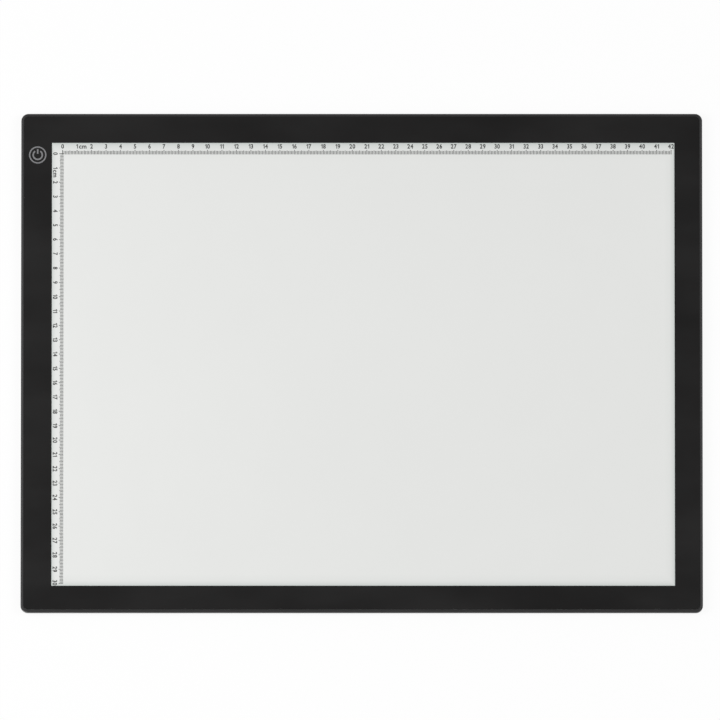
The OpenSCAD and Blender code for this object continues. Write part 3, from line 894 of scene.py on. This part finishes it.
def prism(rims: list[np.ndarray], tops: list[list[int]], thickness: float) -> Shape:
    """Raise flat rims to a closed solid, half its thickness above the plane and half below.

    Each rim gives a wall. The given faces make the top, and turned over they make the bottom.

    Args:
        rims: Corners of the outline, turning left seen from above, and of each hole, turning right.
        tops: Corners of each face of the top, counted through all the rims.
        thickness: Height of the solid.

    Returns:
        The solid.
    """
    outline = np.concatenate(rims)
    count = len(outline)
    level = np.full((count, 1), 0.5 * thickness)
    points = np.concatenate([np.hstack([outline, -level]), np.hstack([outline, level])])
    here = np.arange(count)
    walls = np.split(here, np.cumsum([len(rim) for rim in rims])[:-1])
    after = np.concatenate([np.roll(wall, -1) for wall in walls])
    caps = [np.array([top[::-1], np.add(top, count)]) for top in tops]
    return Shape.of_faces(points, *caps, np.stack([here, after, after + count, here + count], axis=-1))


def middle_of(name: str) -> Triple:
    """Give the middle of a node's box."""
    low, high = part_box(name)
    return tuple(0.5 * (low + high))


def dress_node(name: str, finish: Finish) -> None:
    """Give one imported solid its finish.

    Args:
        name: Name of the node.
        finish: The finish for all its material slots.
    """
    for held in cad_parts[name].material_slots:
        held.material = material_of(finish)
    log.info("dressed %s in %s", name, finish.name)


def add_piece(name: str, shape: Shape, finish: Finish) -> None:
    """Make a new piece of the pad from a shape that is already in place, and let it ride on the pad.

    Args:
        name: Name of the piece.
        shape: The piece's shape.
        finish: The piece's finish, whose name the material takes.
    """
    mesh = shape.mesh(name)
    mesh.materials.append(material_of(finish))
    piece = bpy.data.objects.new(name, mesh)
    bpy.context.scene.collection.objects.link(piece)
    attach(piece, BODY)
    log.info("made %s with %d faces", name, len(mesh.polygons))


@dataclass
class Lettering:
    """Plain upright figures as thin solids: the built-in font, with the figures one and four drawn.

    The drawn figures' sizes are shares of the height, apart from the flag's top and the slope's stroke,
    which are shares of the stroke.
    """

    height: float
    thickness: float
    weight: float
    gap: float
    narrowing: float
    figures: str = "0123456789"
    letters: str = "cm"
    curve_steps: int = 3
    stem: float = 0.13
    flag_reach: float = 0.24
    flag_fall: float = 0.2
    flag_top: float = 0.3
    four_width: float = 0.73
    four_stem: float = 0.413
    four_bar: float = 0.3
    slope_foot: float = 0.41
    slope_top: float = 0.512
    slope_stroke: float = 0.8

    def __post_init__(self) -> None:
        """Find the stroke, and the font size that gives the wanted height, and make every sign."""
        self.stroke = self.stem * self.height + 2.0 * self.weight
        nought = self.font_sign("0", size=1.0, weight=0.0).points
        foot, top = nought[:, 1].min(), nought[:, 1].max()
        self.size = self.height / (top - foot)
        self.foot = foot * self.size
        self.signs = {sign: self.new_sign(sign) for sign in self.figures + self.letters}

    def font_sign(self, sign: str, size: float, weight: float) -> Shape:
        """Turn one sign of the built-in font into a closed solid on its own baseline.

        Args:
            sign: The sign.
            size: Font size in metres.
            weight: How far the outline is swollen, in metres.

        Returns:
            The solid.
        """
        curve = bpy.data.curves.new("lettering", "FONT")
        curve.body = sign
        curve.size = size
        curve.offset = weight
        curve.extrude = 0.5 * self.thickness
        curve.resolution_u = self.curve_steps
        holder = bpy.data.objects.new("lettering", curve)
        bpy.context.scene.collection.objects.link(holder)
        graph = bpy.context.evaluated_depsgraph_get()
        mesh = bpy.data.meshes.new_from_object(holder.evaluated_get(graph))
        self.close(mesh)
        shape = Shape.of_mesh(mesh)
        bpy.data.objects.remove(holder)
        bpy.data.curves.remove(curve)
        bpy.data.meshes.remove(mesh)
        return shape

    @staticmethod
    def close(mesh: bpy.types.Mesh) -> None:
        """Make one closed skin of a sign: walls joined to caps, even cap triangles, faces outwards.

        Args:
            mesh: The sign's mesh, whose walls are quads and whose caps are triangles.
        """
        skin = bmesh.new()
        skin.from_mesh(mesh)
        bmesh.ops.remove_doubles(skin, verts=skin.verts, dist=SAME_POINT)
        caps = [face for face in skin.faces if len(face.verts) == 3]
        inner = [edge for edge in skin.edges if all(len(face.verts) == 3 for face in edge.link_faces)]
        bmesh.ops.beautify_fill(skin, faces=caps, edges=inner)
        bmesh.ops.recalc_face_normals(skin, faces=skin.faces)
        skin.to_mesh(mesh)
        skin.free()

    def flagged_one(self) -> Shape:
        """Make the figure one: an upright stem with a flag that falls to the left from its top.

        Returns:
            The solid, on the font's baseline.
        """
        reach, fall = self.flag_reach * self.height, self.flag_fall * self.height
        outline = [
            (0.0, 0.0),
            (self.stroke, 0.0),
            (self.stroke, self.height),
            (self.flag_top * self.stroke, self.height),
            (-reach, self.height - fall),
            (-reach, self.height - fall - self.stroke),
            (0.0, self.height - self.stroke),
        ]
        whole = list(range(len(outline)))
        return prism([np.array(outline)], [whole], self.thickness).moved(y=self.foot)

    def sloped_four(self) -> Shape:
        """Make the figure four: a stem, a bar across it, and a slope from the bar's end to the stem's top.

        The slope's inner edge runs beside its outer edge. Where it meets the bar and the stem, it leaves
        an open triangle between the three strokes. The outline has the corners 0 to 10 of the top's two
        faces, and the triangle has 11 to 13.

        Returns:
            The solid, on the font's baseline.
        """
        foot, top = -self.weight, self.height + self.weight
        left, low = self.four_stem * self.height, self.four_bar * self.height
        right, high = left + self.stroke, low + self.stroke
        end = self.four_width * self.height
        run, heel = self.slope_top * self.height, self.slope_foot * self.height
        rise = top - heel
        across = self.slope_stroke * self.stroke * math.hypot(run, rise) / rise
        outline = [
            (0.0, low),
            (left, low),
            (left, foot),
            (right, foot),
            (right, low),
            (end, low),
            (end, high),
            (right, high),
            (right, top),
            (run, top),
            (0.0, heel),
        ]
        triangle = [
            (across + (high - heel) * run / rise, high),
            (left, heel + (left - across) * rise / run),
            (left, high),
        ]
        slope = [10, 11, 12, 9]
        stem_and_bar = [*range(10), 12, 13, 11, 10]
        rims = [np.array(outline), np.array(triangle)]
        return prism(rims, [slope, stem_and_bar], self.thickness).moved(y=self.foot)

    def new_sign(self, sign: str) -> Shape:
        """Make one sign from the origin to the right, centred in height, with figures narrowed.

        Args:
            sign: The sign.

        Returns:
            The solid.
        """
        drawn = {"1": self.flagged_one, "4": self.sloped_four}
        shape = drawn[sign]() if sign in drawn else self.font_sign(sign, self.size, self.weight)
        shape = shape.moved(-shape.points[:, 0].min(), -self.foot - 0.5 * self.height)
        narrowing = self.narrowing if sign in self.figures else 1.0
        return replace(shape, points=shape.points * [narrowing, 1.0, 1.0])

    def word(self, text: str, centred: bool) -> Shape:
        """Set a word of evenly spaced signs, its middle line through the origin.

        Args:
            text: The word.
            centred: Whether the word is centred sideways, or starts at the origin.

        Returns:
            The solid word.
        """
        signs = [self.signs[sign] for sign in text]
        widths = np.array([sign.right_end() + self.gap for sign in signs])
        starts = np.cumsum(widths) - widths
        word = Shape.joined([sign.moved(start) for sign, start in zip(signs, starts)])
        return word.moved(-0.5 * word.right_end()) if centred else word


class RulerSide(Enum):
    """The edge of the window that a ruler runs along."""

    REAR = "rear"
    LEFT = "left"


@dataclass
class PrintedRuler:
    """A centimetre ruler printed along one edge of the window."""

    side: RulerSide
    zero: Triple
    length_cm: int
    figure_line: float
    room: float
    ink: Finish = ScreenInk("ruler_ink", srgb(46, 47, 46))
    tick_width: float = 0.42 * MM
    tick_mm: float = 2.4 * MM
    tick_half: float = 2.7 * MM
    tick_cm: float = 3.1 * MM
    figure_height: float = 3.0 * MM
    figure_weight: float = 0.11 * MM
    figure_gap: float = 0.34 * MM
    figure_narrowing: float = 0.86
    figure_margin: float = 0.3 * MM
    unit: str = "cm"
    unit_gap: float = 1.35 * MM
    ink_height: float = 0.03 * MM

    def __post_init__(self) -> None:
        """Set the ruler's directions: along it, out towards the border, and up its figures."""
        right, rear, self.up = np.eye(3)
        if self.side is RulerSide.REAR:
            self.along, self.outward, self.heading = right, rear, rear
        else:
            self.along, self.outward, self.heading = -rear, -right, right

    def ticks(self) -> Shape:
        """Make the ticks: every tenth is longest, every fifth longer than the rest.

        Returns:
            All the ticks, half sunk in the panel.
        """
        count = np.arange(10 * self.length_cm + 1)
        length = np.where(count % 5 == 0, self.tick_half, self.tick_mm)
        length[::10] = self.tick_cm
        half = np.outer(0.5 * length, self.outward)
        middle = np.array(self.zero) + np.outer(count * MM, self.along) + half
        return slabs(middle, 0.5 * self.tick_width * self.along, half, self.ink_height * self.up)

    def set_word(self, word: Shape, at: float) -> Shape:
        """Set one word beside the ruler, moved back where it would reach past the window.

        Args:
            word: The word, reading along +X from or about the origin.
            at: Distance of its origin from the zero tick.

        Returns:
            The word in place.
        """
        at = min(at, self.room - self.figure_margin - word.right_end())
        start = np.array(self.zero) + at * self.along + self.figure_line * self.outward
        axes = np.stack([self.along, self.heading, self.up])
        return replace(word, points=word.points @ axes + start)

    def figures(self) -> Shape:
        """Make the figure at each centimetre, and the unit after the first.

        Returns:
            All the figures, half sunk in the panel.
        """
        lettering = Lettering(
            height=self.figure_height,
            thickness=2.0 * self.ink_height,
            weight=self.figure_weight,
            gap=self.figure_gap,
            narrowing=self.figure_narrowing,
        )
        count = range(self.length_cm + 1)
        words = [self.set_word(lettering.word(str(cm), centred=True), cm * CM) for cm in count]
        words.append(self.set_word(lettering.word(self.unit, centred=False), CM + self.unit_gap))
        return Shape.joined(words)

    def build(self) -> None:
        """Print the ruler's ticks and figures."""
        add_piece(f"{self.side.value}_ruler_ticks", self.ticks(), self.ink)
        add_piece(f"{self.side.value}_ruler_figures", self.figures(), self.ink)


@dataclass
class TouchKeyPrint:
    """The power mark printed on the border over the touch electrode."""

    centre: Triple
    ink: Finish = ScreenInk("key_ink", srgb(122, 122, 124), thinned=1.15)
    ring_across: float = 12.0 * MM
    ring_stroke: float = 0.9 * MM
    mark_across: float = 7.3 * MM
    mark_stroke: float = 1.05 * MM
    mark_gap: float = math.radians(68.0)
    bar_length: float = 3.3 * MM
    bar_top: float = 4.1 * MM
    ink_height: float = 0.03 * MM
    steps: int = 96

    def band(self, across: float, stroke: float, gap: float) -> Shape:
        """Make a ring, open at its top.

        Args:
            across: Outer diameter of the ring.
            stroke: Width of its line.
            gap: Angle of the opening in radians, 0 for a whole ring.

        Returns:
            The ring.
        """
        start = 0.5 * (math.pi + gap)
        turn = (start, start + math.tau - gap)
        radius = 0.5 * (across - stroke)
        return arc_band(np.array(self.centre), radius, (stroke, self.ink_height), turn, self.steps)

    def bar(self) -> Shape:
        """Make the upright bar in the mark's gap.

        Returns:
            The bar.
        """
        half = 0.5 * np.array([self.mark_stroke, self.bar_length, self.ink_height])
        middle = np.array(self.centre) + [0.0, self.bar_top - half[1], half[2]]
        return slabs(middle, *np.diag(half))

    def build(self) -> None:
        """Print the ring and the mark inside it."""
        ring = self.band(self.ring_across, self.ring_stroke, gap=0.0)
        mark = self.band(self.mark_across, self.mark_stroke, self.mark_gap)
        add_piece("key_ring", ring, self.ink)
        add_piece("key_mark", Shape.joined([mark, self.bar()]), self.ink)


@dataclass
class DrawingPanel:
    """The opal panel, its black border, the two rulers and the touch key print."""

    border_left: float = 21.25 * MM
    border_right: float = 19.25 * MM
    border_rear: float = 20.5 * MM
    border_front: float = 18.5 * MM
    zero_from_left: float = 7.25 * MM
    zero_from_rear: float = 8.0 * MM
    left_ruler_shift: Span = (0.8 * MM, 0.5 * MM)
    rear_length_cm: int = 42
    left_length_cm: int = 30
    rear_figure_line: float = 5.6 * MM
    left_figure_line: float = 5.7 * MM
    # Unlike the rear ruler's, so that no two surfaces lie in one plane where the zero ticks cross
    left_ink_height: float = 0.025 * MM
    white: Colour = srgb(233, 234, 232)
    # Painted shade of the panel beside the border, slightly green
    white_edge: Colour = srgb(198, 204, 201)
    lacquer: Finish = BorderLacquer("border_lacquer", srgb(19, 18, 18))

    def __post_init__(self) -> None:
        """Work out the window from the frame's outline and the borders."""
        low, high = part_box("outer_frame")
        self.left, self.right = low.x + self.border_left, high.x - self.border_right
        self.front, self.rear = low.y + self.border_front, high.y - self.border_rear
        self.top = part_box("front_panel")[1].z

    def build(self) -> None:
        """Print the rulers, and the touch key over its electrode."""
        x, y = self.left + self.zero_from_left, self.rear - self.zero_from_rear
        PrintedRuler(
            side=RulerSide.REAR,
            zero=(x, y, self.top),
            length_cm=self.rear_length_cm,
            figure_line=self.rear_figure_line,
            room=self.right - x,
        ).build()
        x, y = x + self.left_ruler_shift[0], y + self.left_ruler_shift[1]
        PrintedRuler(
            side=RulerSide.LEFT,
            zero=(x, y, self.top),
            length_cm=self.left_length_cm,
            figure_line=self.left_figure_line,
            room=y - self.front,
            ink_height=self.left_ink_height,
        ).build()
        x, y, _ = middle_of("touch_electrode")
        TouchKeyPrint((x, y, self.top)).build()

    def dress(self) -> None:
        """Finish the panel and its border."""
        opal = OpalAcrylic(
            "opal_acrylic_panel",
            self.white,
            edge=self.white_edge,
            low=(self.left, self.front),
            high=(self.right, self.rear),
        )
        dress_node("front_panel", opal)
        dress_node("border_mask", self.lacquer)


@dataclass
class Housing:
    """The moulded frame, the back cover, its screws and the feet."""

    rim: Colour = srgb(30, 29, 30)
    cover: Finish = PebbledPlastic("cover_plastic", srgb(31, 31, 32))
    screws: Finish = PlatedMetal(
        "blackened_steel", srgb(128, 128, 132), roughness=0.35, lines=(900.0, 900.0, 60.0)
    )
    feet: Finish = SoftRubber("foot_rubber", srgb(36, 36, 37))

    def dress(self) -> None:
        """Finish the frame, the cover, the screws and the feet."""
        low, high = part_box("outer_frame")
        half = (0.5 * (high.x - low.x), 0.5 * (high.y - low.y))
        # The rim's finish paints a highlight along its rounded edge
        dress_node("outer_frame", RimPlastic("rim_plastic", self.rim, half=half, crest=high.z))
        dress_node("back_cover", self.cover)
        dress_node("cover_screws", self.screws)
        dress_node("rubber_feet", self.feet)


@dataclass
class LightBox:
    """Diffuser, light guide, reflector, tapes and the two rows of diodes."""

    film: Finish = FilmSheet("white_film", srgb(235, 235, 233))
    tape: Finish = FilmSheet("black_tape", srgb(32, 32, 32), roughness=0.62)
    guide: Finish = DottedGuide("dotted_guide", srgb(214, 228, 228), dot=srgb(245, 245, 243))
    strip: Finish = CircuitBoard(
        "strip_lacquer", srgb(232, 233, 230), track=srgb(216, 214, 205), pitch=2.5 * MM
    )
    package: Finish = MouldedPlastic(
        "diode_package",
        srgb(238, 237, 230),
        roughness=0.42,
        grain=9000.0,
        relief=Relief(0.004 * MM, 0.6),
        tone=0.03,
    )
    phosphor: Finish = MouldedPlastic(
        "phosphor_gel",
        srgb(238, 212, 96),
        roughness=0.25,
        grain=14000.0,
        relief=Relief(0.006 * MM, 0.6),
        tone=0.06,
    )
    films: tuple[str, ...] = ("diffuser_sheet", "reflector_sheet", "left_edge_tape", "right_edge_tape")
    tapes: tuple[str, ...] = ("panel_tape", "rear_shade_tape", "front_shade_tape")
    rows: tuple[str, ...] = ("rear", "front")

    def dress(self) -> None:
        """Finish the stack and both rows of diodes."""
        for name in self.films:
            dress_node(name, self.film)
        for name in self.tapes:
            dress_node(name, self.tape)
        dress_node("light_guide", self.guide)
        for row in self.rows:
            dress_node(f"{row}_led_board", self.strip)
            dress_node(f"{row}_leds", self.package)
            dress_node(f"{row}_led_windows", self.phosphor)


def circuit_finishes() -> dict[str, Finish]:
    """List the finish of each piece of the circuit.

    Returns:
        The finishes by node.
    """
    smooth, drawn = Relief(0.006 * MM, 0.6), Relief(0.01 * MM, 0.6)
    resin = functools.partial(MouldedPlastic, grain=8000.0)
    ceramic = functools.partial(MouldedPlastic, grain=6000.0)
    insulation = functools.partial(MouldedPlastic, roughness=0.4, grain=1500.0, relief=drawn)
    foam = functools.partial(SoftRubber, roughness=0.9)
    return {
        "control_board": CircuitBoard("board_lacquer", srgb(18, 98, 58), track=srgb(44, 128, 78)),
        "board_tape": foam(
            "foam_tape", srgb(212, 208, 192), pores=1800.0, relief=Relief(0.06 * MM, 0.5)
        ),
        "touch_chip": resin("chip_resin", srgb(26, 26, 27), roughness=0.6),
        "dimmer_transistor": resin("transistor_resin", srgb(24, 24, 25), roughness=0.58),
        "chip_resistors": ceramic("resistor_glaze", srgb(22, 22, 24), roughness=0.3),
        "chip_capacitors": ceramic("capacitor_ceramic", srgb(172, 148, 108), roughness=0.45),
        "touch_foam": foam(
            "conductive_foam", srgb(74, 74, 76), pores=1500.0, relief=Relief(0.08 * MM, 0.5)
        ),
        "touch_electrode": PlatedMetal("bare_copper", srgb(218, 158, 116)),
        # The shell's outside carries painted shade
        "inlet_shell": BlackenedShell(
            "bright_plated_sheet", srgb(202, 202, 204), roughness=0.25, middle=middle_of("inlet_shell")
        ),
        "inlet_tongue": MouldedPlastic(
            "insulator_resin", srgb(24, 24, 25), roughness=0.36, grain=7000.0, relief=smooth
        ),
        "inlet_contacts": PlatedMetal("gold_plate", srgb(224, 190, 118), roughness=0.23),
        "positive_leads": insulation("red_insulation", srgb(176, 32, 26)),
        "negative_leads": insulation("black_insulation", srgb(26, 26, 26)),
    }


@dataclass
class Electronics:
    """The control board with its chips, the touch electrode, the power inlet and the leads."""

    finishes: dict[str, Finish] = field(default_factory=circuit_finishes)

    def dress(self) -> None:
        """Finish every piece of the circuit."""
        for name, finish in self.finishes.items():
            dress_node(name, finish)


@dataclass(frozen=True)
class Lamp:
    """One square soft lamp aimed at the pad: its place and width in metres, its power in watts."""

    name: str
    place: Triple
    power: float
    across: float

    def build(self) -> None:
        """Hang the lamp and turn it towards the origin."""
        light = bpy.data.lights.new(self.name, "AREA")
        light.energy = self.power
        light.size = self.across
        holder = bpy.data.objects.new(self.name, light)
        holder.location = self.place
        holder.rotation_euler = (-holder.location).to_track_quat("-Z", "Y").to_euler()
        bpy.context.scene.collection.objects.link(holder)


@dataclass
class Studio:
    """Pale floor, plain sky, soft lamps and the camera."""

    elevation: float = math.radians(81.1)
    lens: float = 1500.0
    sensor: float = 36.0
    field_width: float = 496.5 * MM
    look_at: Triple = (-1.2 * MM, 2.28 * MM, 3.0 * MM)
    floor_half: float = 8.0
    floor_colour: Colour = srgb(250, 250, 250)
    floor_shadow: float = 0.11
    below: float = 0.8
    horizon: float = 0.8
    zenith: float = 0.2
    lamps: tuple[Lamp, ...] = (
        Lamp("left_lamp", place=(-1.15, -0.05, 1.15), power=14.2, across=0.9),
        Lamp("right_lamp", place=(1.3, -0.05, 1.3), power=11.5, across=0.9),
        Lamp("under_lamp", place=(-0.8, -0.9, -1.1), power=9.0, across=0.8),
    )

    def floor_material(self) -> bpy.types.Material:
        """Make the floor's material: it glows white, takes a light shadow, and is clear from below.

        Returns:
            The new material.
        """
        material = bpy.data.materials.new("pale_floor")
        material.use_nodes = True
        material.node_tree.nodes.clear()
        wiring = Wiring(material.node_tree)
        glow = wiring.pattern("ShaderNodeEmission")
        paper = wiring.pattern("ShaderNodeBsdfDiffuse", {"Color": self.floor_colour})
        lit = wiring.pattern("ShaderNodeMixShader", {0: self.floor_shadow, 1: glow, 2: paper})
        under = wiring.pattern("ShaderNodeNewGeometry", output="Backfacing")
        clear = wiring.pattern("ShaderNodeBsdfTransparent")
        side = wiring.pattern("ShaderNodeMixShader", {0: under, 1: lit, 2: clear})
        wiring.node("ShaderNodeOutputMaterial", {"Surface": side})
        return material

    def build_floor(self) -> None:
        """Lay the floor, which neither lights the pad nor is mirrored in it."""
        corners = self.floor_half * np.array([[-1, -1, 0], [1, -1, 0], [1, 1, 0], [-1, 1, 0]])
        mesh = Shape.of_faces(corners, np.arange(4)[None, :]).mesh("floor")
        mesh.materials.append(self.floor_material())
        floor = bpy.data.objects.new("floor", mesh)
        bpy.context.scene.collection.objects.link(floor)
        floor.visible_diffuse = False
        floor.visible_glossy = False
        floor.visible_shadow = False

    def build_sky(self) -> None:
        """Make a plain sky, whose level follows the height of the direction."""
        world = bpy.data.worlds.new("studio")
        bpy.context.scene.world = world
        world.use_nodes = True
        wiring = Wiring(world.node_tree)
        _, _, height = wiring.pattern("ShaderNodeTexCoord", output="Generated").parts()
        share = wiring.pattern("ShaderNodeMapRange", {"Value": height, "From Min": -1.0})
        levels = ((0.0, self.below), (0.5, self.horizon), (1.0, self.zenith))
        sky = share.ramp([(position, (level, level, level, 1.0)) for position, level in levels])
        wiring.feed(world.node_tree.nodes["Background"].inputs["Color"], sky)

    def build_camera(self) -> None:
        """Set the camera far off, so that the view hardly converges."""
        distance = self.field_width * self.lens / self.sensor
        data = bpy.data.cameras.new("camera")
        data.lens = self.lens
        data.sensor_width = self.sensor
        data.clip_end = 2.0 * distance
        camera = bpy.data.objects.new("camera", data)
        x, y, z = self.look_at
        away, above = math.cos(self.elevation), math.sin(self.elevation)
        camera.location = (x, y - distance * away, z + distance * above)
        camera.rotation_euler = (0.5 * math.pi - self.elevation, 0.0, 0.0)
        bpy.context.scene.collection.objects.link(camera)
        bpy.context.scene.camera = camera

    def build(self) -> None:
        """Make the floor, the sky, the lamps and the camera."""
        bpy.context.scene.view_settings.view_transform = "Standard"
        self.build_floor()
        self.build_sky()
        for lamp in self.lamps:
            lamp.build()
        self.build_camera()


def main() -> None:
    """Build the studio, dress every solid and print the panel."""
    logging.basicConfig(level=logging.INFO, format="%(name)s: %(message)s")
    Studio().build()
    Housing().dress()
    panel = DrawingPanel()
    panel.dress()
    panel.build()
    LightBox().dress()
    Electronics().dress()


if __name__ == "__main__":
    main()
